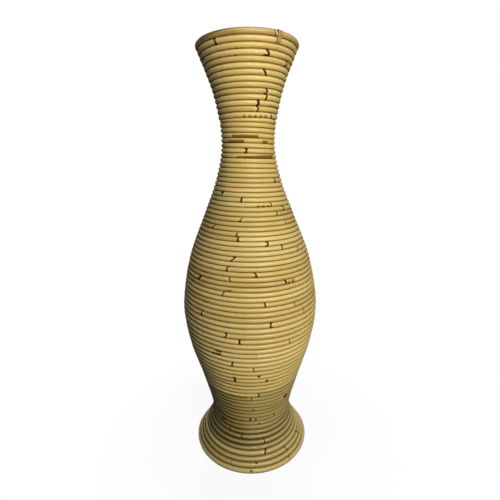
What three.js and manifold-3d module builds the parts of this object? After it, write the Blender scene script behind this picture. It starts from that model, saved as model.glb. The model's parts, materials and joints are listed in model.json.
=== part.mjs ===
// A tall floor vase coiled from round rattan cane, in millimetres, +Z up.
// The origin is the centre of the circle that it stands on, and its front faces -Y.
import * as THREE from "three";
import { mergeVertices } from "three/addons/utils/BufferGeometryUtils.js";
import Module from "manifold-3d";

// Outline of the vase from the ground up: outside diameters, and the level of each as a share of the height
const HEIGHT = 800;
const FOOT_DIAMETER = 244;
const INSTEP_SHARE = 0.055;
const INSTEP_DIAMETER = 193;
const ANKLE_SHARE = 0.105;
const ANKLE_DIAMETER = 169;
const CALF_SHARE = 0.2125;
const CALF_DIAMETER = 209;
const FLANK_SHARE = 0.3125;
const FLANK_DIAMETER = 254;
const BELLY_SHARE = 0.4125;
const BELLY_DIAMETER = 271;
const SHOULDER_SHARE = 0.525;
const SHOULDER_DIAMETER = 238;
const COLLAR_SHARE = 0.625;
const COLLAR_DIAMETER = 177;
const NAPE_SHARE = 0.7125;
const NAPE_DIAMETER = 124;
const NECK_SHARE = 0.8;
const NECK_DIAMETER = 99;
const THROAT_SHARE = 0.9;
const THROAT_DIAMETER = 124;
const LIP_DIAMETER = 180;

// Cane and how it is laid: thick up to the belly, thin from there to the neck, in between in the mouth
const LOWER_CANE_DIAMETER = 9.8;
const UPPER_CANE_DIAMETER = 8.2;
const MOUTH_CANE_DIAMETER = 8.8;
const TURN_GAP = 0.5; // between one turn and the next
const FOOT_RINGS = 10; // closed rings from the ground to the ankle
const BODY_CANES = 20; // lengths of cane in the coil, about 1.8 m on average
const LOWER_COIL_TURNS = 23; // turns of the thicker cane above the ankle
const THINNING_TURNS = 4; // turns over which the coil thins to the upper cane
const MOUTH_RINGS = 14; // closed rings that end in the lip
const TIP_THICKNESS = 1.5; // of the coil's tapered ends, where they run out on a closed ring
const GROUND_CUT = 1; // depth of the flat that the lowest ring stands on

// Joints between cane ends
const JOINT_GAP = 0.5; // left between two ends, along the cane
const SCARF_REACH = 5; // how far the slanted cut runs along the cane

// Floor disc, nailed through the ankle ring
const DISC_THICKNESS = 9;
const SEAT_CLEARANCE = 0.3;
const BRAD_COUNT = 4;
const BRAD_DIAMETER = 1.8;
const BRAD_HEAD_DIAMETER = 3.6;
const BRAD_HEAD_THICKNESS = 0.8;
const BRAD_BITE = 14; // depth of the shank in the disc
const BRAD_POINT = 3; // length of its tapered point

// Strip of cane peel bound over the lip
const BINDING_WIDTH = 6.5;
const BINDING_THICKNESS = 1;

// Facets
const TURN_STEPS = 16; // straight steps in one turn of cane
const DISC_SIDES = 48;
const BRAD_SIDES = 10;
const ARC_DIVISIONS = 1200; // of the outline, to measure along it
const MERGE_DISTANCE = 1e-4; // under which two corners are one

// Where the ring joints, the coil's start and the first nail sit, in steps of a turn from the front
const FOOT_JOINT_STEPS = [1, -1, 1, 0, 2, 0, -1, -2, 8, 6]; // to the right, from the ground up
const MOUTH_JOINT_STEPS = [1, -2, 8, 1, 2, 9, 1, 7, 10, 1, 1, 0, 0, 2]; // to the right, from the lip down
const COIL_START_STEP = 1; // to the right
const FIRST_BRAD_STEP = 3; // to the left

// Steps up the coil by which its joints lie off an even division, so that they meet marks in the photo or are hidden
const BODY_JOINT_SHIFTS = [16, 13, 8, 7, 7, -2, 9, -3, -1, 7, 1, -5, -1, -1, 2, -8, -5, -2, 2]; // from the ankle up

const LOWER_PITCH = LOWER_CANE_DIAMETER + TURN_GAP;
const UPPER_PITCH = UPPER_CANE_DIAMETER + TURN_GAP;
const MOUTH_PITCH = MOUTH_CANE_DIAMETER + TURN_GAP;
const LOWER_RADIUS = LOWER_CANE_DIAMETER / 2;
const UPPER_RADIUS = UPPER_CANE_DIAMETER / 2;
const MOUTH_RADIUS = MOUTH_CANE_DIAMETER / 2;
const STEP_ANGLE = (2 * Math.PI) / TURN_STEPS;
const FACET_SHARE = Math.cos(STEP_ANGLE / 2); // radius at the middle of a straight step over that at its ends

const wasm = await Module();
wasm.setup();

const canePale = new THREE.MeshStandardMaterial({ color: 0xcfae74, roughness: 0.42, metalness: 0 });
const caneGolden = new THREE.MeshStandardMaterial({ color: 0xc39f62, roughness: 0.42, metalness: 0 });
const caneBrown = new THREE.MeshStandardMaterial({ color: 0x9a7440, roughness: 0.45, metalness: 0 });
const peel = new THREE.MeshStandardMaterial({ color: 0x8f7b45, roughness: 0.5, metalness: 0 });
const plywood = new THREE.MeshStandardMaterial({ color: 0xb08d5c, roughness: 0.7, metalness: 0 });
const steel = new THREE.MeshStandardMaterial({ color: 0x57534d, roughness: 0.4, metalness: 0.9 });

// Line that the cane's centre follows up the wall, in (radius, height)
function wallLine() {
  const stations = [
    [INSTEP_SHARE, INSTEP_DIAMETER, LOWER_RADIUS],
    [ANKLE_SHARE, ANKLE_DIAMETER, LOWER_RADIUS],
    [CALF_SHARE, CALF_DIAMETER, LOWER_RADIUS],
    [FLANK_SHARE, FLANK_DIAMETER, LOWER_RADIUS],
    [BELLY_SHARE, BELLY_DIAMETER, LOWER_RADIUS],
    [SHOULDER_SHARE, SHOULDER_DIAMETER, UPPER_RADIUS],
    [COLLAR_SHARE, COLLAR_DIAMETER, UPPER_RADIUS],
    [NAPE_SHARE, NAPE_DIAMETER, UPPER_RADIUS],
    [NECK_SHARE, NECK_DIAMETER, UPPER_RADIUS],
    [THROAT_SHARE, THROAT_DIAMETER, MOUTH_RADIUS],
  ];
  const points = stations.map(([share, diameter, caneRadius]) => {
    return new THREE.Vector2(diameter / 2 - caneRadius, share * HEIGHT);
  });
  const ground = new THREE.Vector2(FOOT_DIAMETER / 2 - LOWER_RADIUS, LOWER_RADIUS - GROUND_CUT);
  const lip = new THREE.Vector2(LIP_DIAMETER / 2 - MOUTH_RADIUS, HEIGHT - MOUTH_RADIUS);
  const line = new THREE.SplineCurve([ground, ...points, lip]);
  line.arcLengthDivisions = ARC_DIVISIONS;
  return line;
}

const wall = wallLine();
const wallRun = wall.getLength();

// Point at a distance along the wall line, moved outwards square to it
function wallPoint(distance, outwards) {
  const share = THREE.MathUtils.clamp(distance / wallRun, 0, 1);
  const along = wall.getTangentAt(share);
  const point = wall.getPointAt(share);
  point.addScaledVector(along, distance - share * wallRun);
  return point.add(new THREE.Vector2(along.y, -along.x).multiplyScalar(outwards));
}

// Point of the wall plane at a number of steps up the coil, which climbs to the left across the front
function turned(point, step) {
  const angle = -step * STEP_ANGLE;
  return new THREE.Vector3(point.x * Math.sin(angle), -point.x * Math.cos(angle), point.y);
}

// A cane fills the wall from low to high, and its band also says how thick it is through the wall
function ringBand(middle, radius) {
  return { low: middle - radius, high: middle + radius, radius };
}

// Six-sided section of a cane at one step
const CORNER_SIGNS = [0, 1, 1, 0, -1, -1]; // which corners are above and below the middle
function sectionAt(step, { low, high, radius }) {
  const middle = (low + high) / 2;
  return [
    wallPoint(middle, radius),
    wallPoint(high, radius / 2),
    wallPoint(high, -radius / 2),
    wallPoint(middle, -radius),
    wallPoint(low, -radius / 2),
    wallPoint(low, radius / 2),
  ].map((corner) => turned(corner, step));
}

// Slanted end in the middle of the straight step after a step; side is 1 past the joint, -1 before it
function jointEnd(step, side, bandAt) {
  const before = sectionAt(step, bandAt(step));
  const after = sectionAt(step + 1, bandAt(step + 1));
  return before.map((corner, index) => {
    const shift = (side * JOINT_GAP + CORNER_SIGNS[index] * SCARF_REACH) / 2;
    const share = 0.5 + shift / corner.distanceTo(after[index]);
    return corner.clone().lerp(after[index], share);
  });
}

// Closed tube through a list of sections
function tube(sections) {
  const sides = CORNER_SIGNS.length;
  const corners = sections.flat();
  const faces = [];
  for (let ring = 0; ring + 1 < sections.length; ring += 1) {
    for (let side = 0; side < sides; side += 1) {
      const near = ring * sides + side;
      const next = ring * sides + ((side + 1) % sides);
      faces.push(near, next, near + sides, next, next + sides, near + sides);
    }
  }
  const end = (sections.length - 1) * sides;
  for (let side = 1; side + 1 < sides; side += 1) {
    faces.push(0, side + 1, side, end, end + side, end + side + 1);
  }
  const geometry = new THREE.BufferGeometry().setFromPoints(corners);
  geometry.setIndex(faces);
  geometry.computeVertexNormals();
  return geometry;
}

// Solid of a geometry, and back
function solid(geometry) {
  const bare = geometry.clone();
  bare.deleteAttribute("normal");
  bare.deleteAttribute("uv");
  const merged = mergeVertices(bare, MERGE_DISTANCE);
  const vertProperties = new Float32Array(merged.attributes.position.array);
  const triVerts = new Uint32Array(merged.index.array);
  return new wasm.Manifold(new wasm.Mesh({ numProp: 3, vertProperties, triVerts }));
}

function geometryOf(body) {
  const { vertProperties, triVerts } = body.getMesh();
  const geometry = new THREE.BufferGeometry();
  geometry.setAttribute("position", new THREE.BufferAttribute(vertProperties, 3));
  geometry.setIndex(new THREE.BufferAttribute(triVerts, 1));
  geometry.computeVertexNormals();
  return geometry;
}

function cut(geometry, tools) {
  const body = tools.reduce((left, tool) => left.subtract(solid(tool)), solid(geometry));
  return geometryOf(body);
}

const vase = new THREE.Group();

function addPiece(name, geometry, material) {
  const piece = new THREE.Mesh(geometry, material);
  piece.name = name;
  vase.add(piece);
}

function numbered(name, number) {
  return `${name}_${String(number).padStart(2, "0")}`;
}

// Nail places round the ankle ring: the middle of a straight step, seen along the radius
const ankleMiddle = (FOOT_RINGS - 1) * LOWER_PITCH;
const ankle = wallPoint(ankleMiddle, 0);
const ankleInside = (ankle.x - LOWER_RADIUS) * FACET_SHARE;
const ankleOutside = (ankle.x + LOWER_RADIUS) * FACET_SHARE;

// Turns a geometry that stands on +Y so that it points outwards along the radius at the ankle
function alongRadius(geometry, step) {
  geometry.rotateZ(Math.PI);
  geometry.rotateZ(-step * STEP_ANGLE);
  return geometry.translate(0, 0, ankle.y);
}

function bradGeometry(step) {
  const tip = ankleInside - SEAT_CLEARANCE - BRAD_BITE;
  const seat = ankleOutside + SEAT_CLEARANCE;
  const profile = [
    new THREE.Vector2(0, tip),
    new THREE.Vector2(BRAD_DIAMETER / 2, tip + BRAD_POINT),
    new THREE.Vector2(BRAD_DIAMETER / 2, seat),
    new THREE.Vector2(BRAD_HEAD_DIAMETER / 2, seat),
    new THREE.Vector2(BRAD_HEAD_DIAMETER / 2, seat + BRAD_HEAD_THICKNESS),
    new THREE.Vector2(0, seat + BRAD_HEAD_THICKNESS),
  ];
  return alongRadius(new THREE.LatheGeometry(profile, BRAD_SIDES), step);
}

function bradHole(step) {
  const radius = BRAD_DIAMETER / 2 + SEAT_CLEARANCE;
  const start = ankleInside - BRAD_BITE - 2 * SEAT_CLEARANCE;
  const length = ankleOutside + LOWER_RADIUS - start;
  const hole = new THREE.CylinderGeometry(radius, radius, length, BRAD_SIDES);
  return alongRadius(hole.translate(0, start + length / 2, 0), step);
}

const bradSteps = Array.from({ length: BRAD_COUNT }, (_, index) => {
  return FIRST_BRAD_STEP + Math.round((index * TURN_STEPS) / BRAD_COUNT) + 0.5;
});
const bradHoles = bradSteps.map(bradHole);

// One cane or ring between two joints, each in the middle of a straight step
function joinedCane(bandAt, firstStep, lastStep) {
  const sections = [jointEnd(firstStep, 1, bandAt)];
  for (let step = firstStep + 1; step <= lastStep; step += 1) {
    sections.push(sectionAt(step, bandAt(step)));
  }
  sections.push(jointEnd(lastStep, -1, bandAt));
  return sections;
}

function ringGeometry(band, jointSteps, order) {
  const joint = -jointSteps[order % jointSteps.length] - 1;
  return tube(joinedCane(() => band, joint, joint + TURN_STEPS));
}

// Block under the ground, which cuts the lowest ring flat
function groundBlock() {
  const width = 2 * FOOT_DIAMETER;
  return new THREE.BoxGeometry(width, width, LOWER_CANE_DIAMETER).translate(0, 0, -LOWER_RADIUS);
}

// Closed rings of the foot, numbered upwards from the ground
for (let order = 0; order < FOOT_RINGS; order += 1) {
  const onGround = order === 0;
  const atAnkle = order === FOOT_RINGS - 1;
  const tools = [...(onGround ? [groundBlock()] : []), ...(atAnkle ? bradHoles : [])];
  const band = ringBand(order * LOWER_PITCH, LOWER_RADIUS);
  const ring = ringGeometry(band, FOOT_JOINT_STEPS, order);
  const geometry = tools.length ? cut(ring, tools) : ring;
  addPiece(numbered("foot_ring", order + 1), geometry, order % 2 ? caneGolden : canePale);
}

// Floor disc inside the ankle ring
const discRadius = ankleInside - SEAT_CLEARANCE;
const disc = new THREE.CylinderGeometry(discRadius, discRadius, DISC_THICKNESS, DISC_SIDES);
disc.rotateX(Math.PI / 2).translate(0, 0, ankle.y);
addPiece("floor_disc", cut(disc, bradHoles), plywood);
bradSteps.forEach((step, index) => addPiece(`floor_brad_${index + 1}`, bradGeometry(step), steel));

// Coil of the body: one climbing line of cane, which tapers out on the closed ring below and above it
const coilBottom = ankleMiddle + LOWER_PITCH / 2;
const mouthMiddle = wallRun - (MOUTH_RINGS - 1) * MOUTH_PITCH;
const coilTop = mouthMiddle - MOUTH_PITCH / 2;

// Distance along the wall of the groove above the coil after a number of turns
function grooveAfter(turns) {
  const lower = Math.min(turns, LOWER_COIL_TURNS);
  const thinning = THREE.MathUtils.clamp(turns - LOWER_COIL_TURNS, 0, THINNING_TURNS);
  const upper = Math.max(turns - LOWER_COIL_TURNS - THINNING_TURNS, 0);
  const thinned = ((LOWER_PITCH - UPPER_PITCH) * thinning ** 2) / (2 * THINNING_TURNS);
  return coilBottom + (lower + thinning) * LOWER_PITCH - thinned + upper * UPPER_PITCH;
}

function coilBand(step) {
  const turns = (step + COIL_START_STEP) / TURN_STEPS;
  const below = grooveAfter(turns - 1);
  const above = grooveAfter(turns);
  return {
    low: Math.max(below, coilBottom) + TURN_GAP / 2,
    high: Math.min(above, coilTop) - TURN_GAP / 2,
    radius: (above - below - TURN_GAP) / 2,
  };
}

// First and last step at which the coil is thicker than its tips
function coilEnds() {
  const stands = (step) => coilBand(step).high - coilBand(step).low >= TIP_THICKNESS;
  let first = -COIL_START_STEP;
  while (!stands(first)) {
    first += 1;
  }
  let last = first;
  while (stands(last + 1)) {
    last += 1;
  }
  return [first, last];
}

function coilMiddle(step) {
  const { low, high } = coilBand(step);
  return turned(wallPoint((low + high) / 2, 0), step);
}

// Steps in whose middle one cane ends and the next begins: an even division of the coil, then shifted
function coilJoints(first, last) {
  const lengths = [0];
  for (let step = first; step < last; step += 1) {
    lengths.push(lengths.at(-1) + coilMiddle(step).distanceTo(coilMiddle(step + 1)));
  }
  const share = lengths.at(-1) / BODY_CANES;
  return Array.from({ length: BODY_CANES - 1 }, (_, index) => {
    const even = lengths.findLastIndex((length) => length <= (index + 1) * share);
    return first + even + (BODY_JOINT_SHIFTS[index] ?? 0);
  });
}

// Least distance between corners of one cane that are half a turn or more apart along it
function leastGap(sections) {
  let least = Infinity;
  for (let lower = 0; lower < sections.length; lower += 1) {
    for (let upper = lower + TURN_STEPS / 2; upper < sections.length; upper += 1) {
      for (const top of sections[lower].filter((_, index) => CORNER_SIGNS[index] > 0)) {
        const gaps = sections[upper].map((corner) => corner.distanceTo(top));
        least = Math.min(least, ...gaps);
      }
    }
  }
  return least;
}

const [coilFirst, coilLast] = coilEnds();
const joints = coilJoints(coilFirst, coilLast);
let narrowest = Infinity;
for (let order = 0; order <= joints.length; order += 1) {
  const atStart = order === 0;
  const atEnd = order === joints.length;
  const from = atStart ? coilFirst : joints[order - 1];
  const to = atEnd ? coilLast : joints[order];
  const sections = joinedCane(coilBand, from, to);
  if (atStart) {
    sections[0] = sectionAt(coilFirst, coilBand(coilFirst));
  }
  if (atEnd) {
    sections.pop();
  }
  narrowest = Math.min(narrowest, leastGap(sections));
  addPiece(numbered("body_cane", order + 1), tube(sections), order % 3 ? canePale : caneGolden);
}
console.log(`least gap of a cane to itself: ${narrowest.toFixed(2)} mm`);

// Closed rings of the mouth, numbered upwards; the last is the lip
for (let order = 0; order < MOUTH_RINGS; order += 1) {
  const fromLip = MOUTH_RINGS - 1 - order;
  const band = ringBand(mouthMiddle + order * MOUTH_PITCH, MOUTH_RADIUS);
  const ring = ringGeometry(band, MOUTH_JOINT_STEPS, fromLip);
  const material = fromLip === 0 ? caneBrown : order % 2 ? caneGolden : canePale;
  addPiece(numbered("mouth_ring", order + 1), ring, material);
}

// Binding: a strip of peel folded over the two top rings, across the lip's joint
function bindingOutline() {
  const inner = MOUTH_RADIUS + SEAT_CLEARANCE;
  const outer = inner + BINDING_THICKNESS;
  const low = wallRun - MOUTH_PITCH - MOUTH_RADIUS;
  const fold = (reach, flat) => [
    [low, -reach],
    [wallRun, -reach],
    [wallRun + reach, -flat],
    [wallRun + reach, flat],
    [wallRun, reach],
    [low, reach],
  ];
  const path = [
    ...fold(inner, inner - MOUTH_RADIUS / 2),
    ...fold(outer, outer - MOUTH_RADIUS / 2).reverse(),
  ];
  return path.map(([distance, outwards]) => {
    const point = wallPoint(distance, outwards);
    return new THREE.Vector2(point.x * FACET_SHARE, point.y);
  });
}

function bindingGeometry() {
  const outline = new THREE.Shape(bindingOutline());
  const strip = new THREE.ExtrudeGeometry(outline, { depth: BINDING_WIDTH, bevelEnabled: false });
  strip.translate(0, 0, -BINDING_WIDTH / 2);
  strip.rotateX(Math.PI / 2);
  return strip.rotateZ((MOUTH_JOINT_STEPS[0] + 0.5) * STEP_ANGLE - Math.PI / 2);
}

addPiece("lip_binding", bindingGeometry(), peel);

export default vase;
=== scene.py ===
import json
import math

import bpy
import numpy as np
from mathutils import Color, Euler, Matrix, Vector


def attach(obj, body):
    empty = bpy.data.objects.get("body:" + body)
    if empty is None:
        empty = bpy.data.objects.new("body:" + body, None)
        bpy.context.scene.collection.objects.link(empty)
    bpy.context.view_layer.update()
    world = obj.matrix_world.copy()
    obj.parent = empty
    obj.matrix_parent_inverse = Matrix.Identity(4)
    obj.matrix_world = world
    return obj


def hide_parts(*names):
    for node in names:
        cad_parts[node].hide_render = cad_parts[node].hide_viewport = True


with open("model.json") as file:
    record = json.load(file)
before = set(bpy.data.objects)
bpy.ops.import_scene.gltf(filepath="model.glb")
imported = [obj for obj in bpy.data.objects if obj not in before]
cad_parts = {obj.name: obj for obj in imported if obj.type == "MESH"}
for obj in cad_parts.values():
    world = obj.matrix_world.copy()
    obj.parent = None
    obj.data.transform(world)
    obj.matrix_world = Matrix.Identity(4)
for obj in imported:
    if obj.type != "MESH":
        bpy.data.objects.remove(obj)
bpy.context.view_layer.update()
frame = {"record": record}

# A floor vase coiled from round rattan cane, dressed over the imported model: metres, +Z up, front towards -Y
SLOT_OF = {part["node"]: part["material_slot"] for part in frame["record"]["subparts"]}
MM = 0.001
TURN = 2 * math.pi
SEED = 11

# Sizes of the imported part, repeated from its source
HEIGHT = 800 * MM
FOOT_DIAMETER = 244 * MM
LIP_DIAMETER = 180 * MM
# Stations of the outline: share of the height, outside diameter in mm
LOWER_STATIONS = ((0.055, 193), (0.105, 169), (0.2125, 209), (0.3125, 254), (0.4125, 271))
UPPER_STATIONS = ((0.525, 238), (0.625, 177), (0.7125, 124), (0.8, 99))
MOUTH_STATIONS = ((0.9, 124),)
LOWER_CANE_DIAMETER = 9.8 * MM
UPPER_CANE_DIAMETER = 8.2 * MM
MOUTH_CANE_DIAMETER = 8.8 * MM
TURN_GAP = 0.5 * MM
FOOT_RINGS = 10
BODY_CANES = 20
LOWER_COIL_TURNS = 23
THINNING_TURNS = 4
MOUTH_RINGS = 14
TIP_THICKNESS = 1.5 * MM
GROUND_CUT = 1 * MM
SCARF_REACH = 5 * MM
DISC_THICKNESS = 9 * MM
SEAT_CLEARANCE = 0.3 * MM
BRAD_COUNT = 4
BRAD_DIAMETER = 1.8 * MM
BRAD_HEAD_DIAMETER = 3.6 * MM
BRAD_HEAD_THICKNESS = 0.8 * MM
BRAD_BITE = 14 * MM
BRAD_POINT = 3 * MM
BINDING_THICKNESS = 1 * MM
TURN_STEPS = 16
FOOT_JOINT_STEPS = (1, -1, 1, 0, 2, 0, -1, -2, 8, 6)
MOUTH_JOINT_STEPS = (1, -2, 8, 1, 2, 9, 1, 7, 10, 1, 1, 0, 0, 2)
COIL_START_STEP = 1
FIRST_BRAD_STEP = 3
BODY_JOINT_SHIFTS = np.array([16, 13, 8, 7, 7, -2, 9, -3, -1, 7, 1, -5, -1, -1, 2, -8, -5, -2, 2])
LOWER_PITCH = LOWER_CANE_DIAMETER + TURN_GAP
UPPER_PITCH = UPPER_CANE_DIAMETER + TURN_GAP
MOUTH_PITCH = MOUTH_CANE_DIAMETER + TURN_GAP
LOWER_RADIUS = LOWER_CANE_DIAMETER / 2
UPPER_RADIUS = UPPER_CANE_DIAMETER / 2
MOUTH_RADIUS = MOUTH_CANE_DIAMETER / 2
STEP_ANGLE = TURN / TURN_STEPS

# The photograph's camera
IMAGE_SIZE = 500
FOCAL_PIXELS = 345.04
CAMERA_PLACE = Vector((0, -0.67405, 0.60625))
CAMERA_TILT = math.radians(14.645)
CAMERA_YAW = math.radians(-0.102)
CAMERA_ROLL = math.radians(-0.647)
CAMERA_TURN = Euler((0, 0, CAMERA_YAW)).to_matrix() @ Euler((math.pi / 2 - CAMERA_TILT, 0, 0)).to_matrix()
CAMERA_TURN = CAMERA_TURN @ Euler((0, 0, CAMERA_ROLL)).to_matrix()
SIGHT_RANGE = (0.3, 1.4)  # metres from the camera to the vase
SIGHT_STEPS = 6000
OUTSIDE_STEPS = 2000

# Lamps: name, place, what it faces, size and power
LIGHTS = (
    ("key_right", (0.4, -0.8, 0.7), (0, 0, 0.4), 0.4, 6.1),
    ("lamp_by_camera", (0.06, -0.7, 1), (0, 0, 0.4), 0.14, 2.8),
    ("back_right", (0.35, 1.05, 0.95), (0, 0, 0.4), 0.6, 2.2),
    ("back_fill", (-0.02, 1.1, 0.9), (0, 0, 0.4), 0.3, 6.5),
    ("left_fill", (-0.7, 0.85, 0.3), (0, 0, 0.45), 0.6, 0.7),
)
WORLD_LIGHT = 0.01
WHITE = (1, 1, 1, 1)
FLOOR_REACH = 6
FLOOR_TINT = (0.85, 0.85, 0.84, 1)
FLOOR_BOUNCE_TINT = (0.1, 0.1, 0.1, 1)
FLOOR_SHADOW_FADE = (0.14, 0.4)  # metres from the middle
FLOOR_WHITE = 0.92  # share of white near the vase

# Layout of a cane's bake: rows, and end faces beside them
LAYOUT_LEFT = 0.01
LAYOUT_WIDTH = 0.93
ROW_MARGIN = 0.05
CAP_RADIUS = 0.012
START_CAP = (0.975, 0.25)
END_CAP = (0.975, 0.75)

# How the canes are shaped
SECTION_POINTS = 20
PATH_SPACING = 5 * MM
LEAST_SPACING = 0.08 * MM  # of rings of points
PATH_POINTS_PER_STEP = 8
SPLINE_STEPS = 400
SNUG = 0.31 * MM  # added to a packed cane's radius
TIP_DEPTH = 0.45  # share of its depth that a tapered tip keeps
THICKNESS_CHANGE = 0.012  # share of the radius
THICKNESS_WAVES = (0.047, 0.083, 0.19)  # in metres
WANDER = 0.05 * MM  # up and down the wall
WANDER_WAVES = (0.11, 0.23)
LIFT = 0.35 * MM  # in and out of the wall
LIFT_WAVES = (0.07, 0.16, 0.31)
END_GAP = 0.15 * MM
END_ROUNDING = 1.3 * MM
END_FACE_SHARE = 0.8  # of the radius, left on a cut end
SCAR_REFINE = np.array([0, 0.25, 0.5, 0.8, 1.2, 1.8, 2.6, 4, 6]) * MM
END_REFINE = np.array([0, 0.12, 0.3, 0.55, 0.85, 1.2, 1.6, 2.4, 4, 7]) * MM
SCAR_SWELL = 0.03  # share of the radius
SCAR_SWELL_REACH = 4 * MM
SCAR_DENT = 0.2
SCAR_DENT_REACH = 0.7 * MM

# How marks lie on a cane
LEAN_REACH = 10 * MM  # over which a slanted mark bends the mesh
MARK_WIDTH = 0.7 * MM  # of a faint mark, from its middle
MARK_WIDENING = 0.8 * MM  # more for a strong one
MARK_UNEVENNESS = 0.4  # of its width
MARK_CURL = 0.9 * MM
MARK_FOOT = 4.5 * MM
FOOT_FROM = 0.3  # share of the half face where a mark begins to spread
FOOT_FADE = 0.5
SCRAPED_SHARE = 0.8  # how pale the skin beside a mark is
SCRAPED_OFFSET = 3.5 * MM
SCRAPED_REACH = 1.8 * MM
SPOT_SIZE = 2.2 * MM
STAIN_SPACING = 0.7 * MM  # of rings of points
STAIN_BORDER = 0.1 * MM
STAIN_EDGE = 3  # how sharp its edge along the cane is
STAIN_DASH = 9 * MM
DASH_CONTRAST = 2
FACING_FROM = -0.3  # cosine of the turn from the camera where spots and stains end
HIDDEN_JOINT_STRENGTH = (0.5, 1)

# Marks that are made up for the sides and back
FRONT_ANGLE = math.radians(68)  # each side, where the photograph's marks are
OTHER_SPACING = (0.13, 0.34)  # in metres
OTHER_END_MARGIN = 30 * MM
OTHER_LEAN = 0.35
OTHER_STRENGTH = (0.4, 1)
OTHER_STAIN_CHANCE = 0.12
OTHER_STAIN_REACH = (0.01, 0.05)
OTHER_STAIN_SHARE = (0.2, 0.6)
OTHER_STAIN_STRENGTH = (0.4, 0.9)
OTHER_STAIN_DASHES = (0, 0.4)

# How the skin's colour changes
CANE_TONE = 0.4  # from cane to cane
LENGTH_TONE = 0.7  # from scar to scar
CANE_HUE = 0.18
LENGTH_HUE = 0.34
TONE_FADE = 12 * MM
GRAIN_REACH = 40  # metres, out of which each cane takes its own
TONE_STEP = 0.2  # share of the tints that a tone of 1 moves by
BLOTCH_SPREAD = 0.55
# Tints of the skin: place from darkest to palest, red, green, blue
PALE_STOPS = (
    (0, 166, 136, 66), (0.3, 190, 163, 87), (0.55, 203, 178, 103), (0.8, 213, 191, 117), (1, 203, 185, 110),
)
GOLDEN_STOPS = (
    (0, 156, 123, 54), (0.3, 182, 152, 75), (0.55, 197, 170, 92), (0.8, 207, 183, 106), (1, 194, 174, 98),
)
BROWN_STOPS = (
    (0, 92, 70, 28), (0.3, 138, 109, 54), (0.55, 158, 128, 70), (0.8, 172, 143, 82), (1, 158, 132, 78),
)
PAINTED_HIGHLIGHT_WIDTH = 0.62  # of a cane's painted highlight on its upper side, in radians
SHADED_FLANK_MELLOW = 0.32  # by which the other sides are yellower, as painted shade
PAINTED_HIGHLIGHT_PALENESS = 0.22  # by which the side with the painted highlight is paler
# Changes up the wall: mm along it, and the value there. Mellow skin is yellower, or paler below 0
OLIVE_DRIFT = ((50, 2.5), (100, 0.9), (130, 0.1), (450, 0.1), (620, 0), (760, -0.25), (830, -0.4))
TONE_DRIFT = (
    (0, 2), (18, 1.5), (30, 0.2), (480, 0.45), (515, -0.3), (560, 0.3), (740, 0.7), (780, 1), (830, 1.2),
)
MELLOW_DRIFT = (
    (60, -0.05), (100, 0.24), (140, 0.4), (240, 0.34), (300, 0), (360, -0.16), (560, -0.16), (680, 0),
    (760, -0.1),
)
# Strength of the painted highlight up the wall, and how far above level the side that carries it faces
PAINTED_HIGHLIGHT_DRIFT = (
    (0, 0.6), (40, 0.55), (80, 0.42), (170, 0.34), (270, 0.36), (330, 0.16), (400, 0.05), (560, 0.05),
    (700, 0.15), (830, 0.26),
)
PAINTED_HIGHLIGHT_RISE = ((85, 46), (115, 22), (240, 22), (300, 32), (450, 26), (830, 20))  # degrees above level
AGED_AND_SHADOWED_SHARE = 0.42  # how far the canes round the ankle are darkened: their age, with the belly's shadow painted on
# How much of that the lowest canes show, from the ground up: on the right, at the front, on the left, where
# most of the painted shadow lies
AGED_AND_SHADOWED_CANES = (
    (0, 0, 0.6), (0.1, 0.3, 1), (0.2, 0.45, 1.1), (0.1, 0.1, 0.6), (0.45, 1, 2), (0.5, 1.1, 2.1),
    (0.9, 0.95, 2.4), (0.9, 0.95, 2.4), (0.75, 0.7, 2.1), (0.75, 0.7, 2), (0.75, 0.7, 1.8), (0.75, 0.7, 1.8),
)

# How the binding, the disc and the nails are shaped
BINDING_WIDTH = 8.6 * MM  # as the photograph shows it
BINDING_SHIFT = 2.4 * MM  # to the right of the joint that it covers
BINDING_STRANDS = 2
BINDING_SIDES = 12
BINDING_FLATNESS = 0.7  # power that squares its round section
BINDING_LOWER_ARC = np.radians(np.linspace(-82, 40, 11))
BINDING_UPPER_ARC = np.radians(np.linspace(-40, 90, 12))
BINDING_SMOOTHING = 3
BINDING_FILL = 1.04  # of a strand's place
BINDING_TAPER = 0.08  # share of its length
BINDING_TIP = 0.35
BINDING_UNEVENNESS = 0.06
BINDING_WIDTH_WAVES = (0.011, 0.019)
BINDING_WANDER = 0.35 * MM
BINDING_WANDER_WAVES = (0.016, 0.031)
DISC_SIDES = 96
DISC_EASE = 0.8 * MM
DISC_RINGS = (0.15, 0.4, 0.7, 0.94)  # of points, as shares of its radius
BRAD_SIDES = 20
BRAD_COLLAR = 1 * MM  # swelling under its head
BRAD_DOME = np.linspace(0, 1.35, 6)  # in radians
BRAD_HEAD_EDGE = 0.35  # share of the head's thickness below the dome

# Marks read in the photograph: pixel across, pixel down, lean to the right at its top, strength
PHOTO_SCARS = (
    (275.6, 32, -0.3, 0.6), (276.6, 40.5, 0.2, 0.5), (274.6, 121, -0.3, 0.6), (222.6, 192.4, 0.5, 1.1),
    (241.4, 198.6, -0.2, 1), (283.3, 206, -0.2, 1), (277, 212.3, 0, 0.7), (241.4, 217.4, 0.6, 0.7),
    (213.9, 225, 0.7, 1.1), (236.8, 233.3, 0.3, 0.8), (268, 244, 0.3, 1), (282.2, 248, -0.1, 0.8),
    (233.3, 259, 0.8, 1), (256.2, 274, -0.4, 1), (229.7, 277.8, -0.2, 0.7), (285.8, 279.8, -0.2, 1.3),
    (295, 306.3, 0, 0.5), (303.7, 311, -0.1, 0.6), (270.5, 326, 0.2, 1), (226, 336.4, 0.2, 0.9),
    (289.4, 343, 0, 0.6), (253.6, 371.6, 0, 0.7), (251.2, 398.4, 0, 0.7), (273.9, 415.5, 0, 0.8),
    (250.5, 418.3, 0, 0.9), (306.3, 255, 0, 0.9),
)
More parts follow.
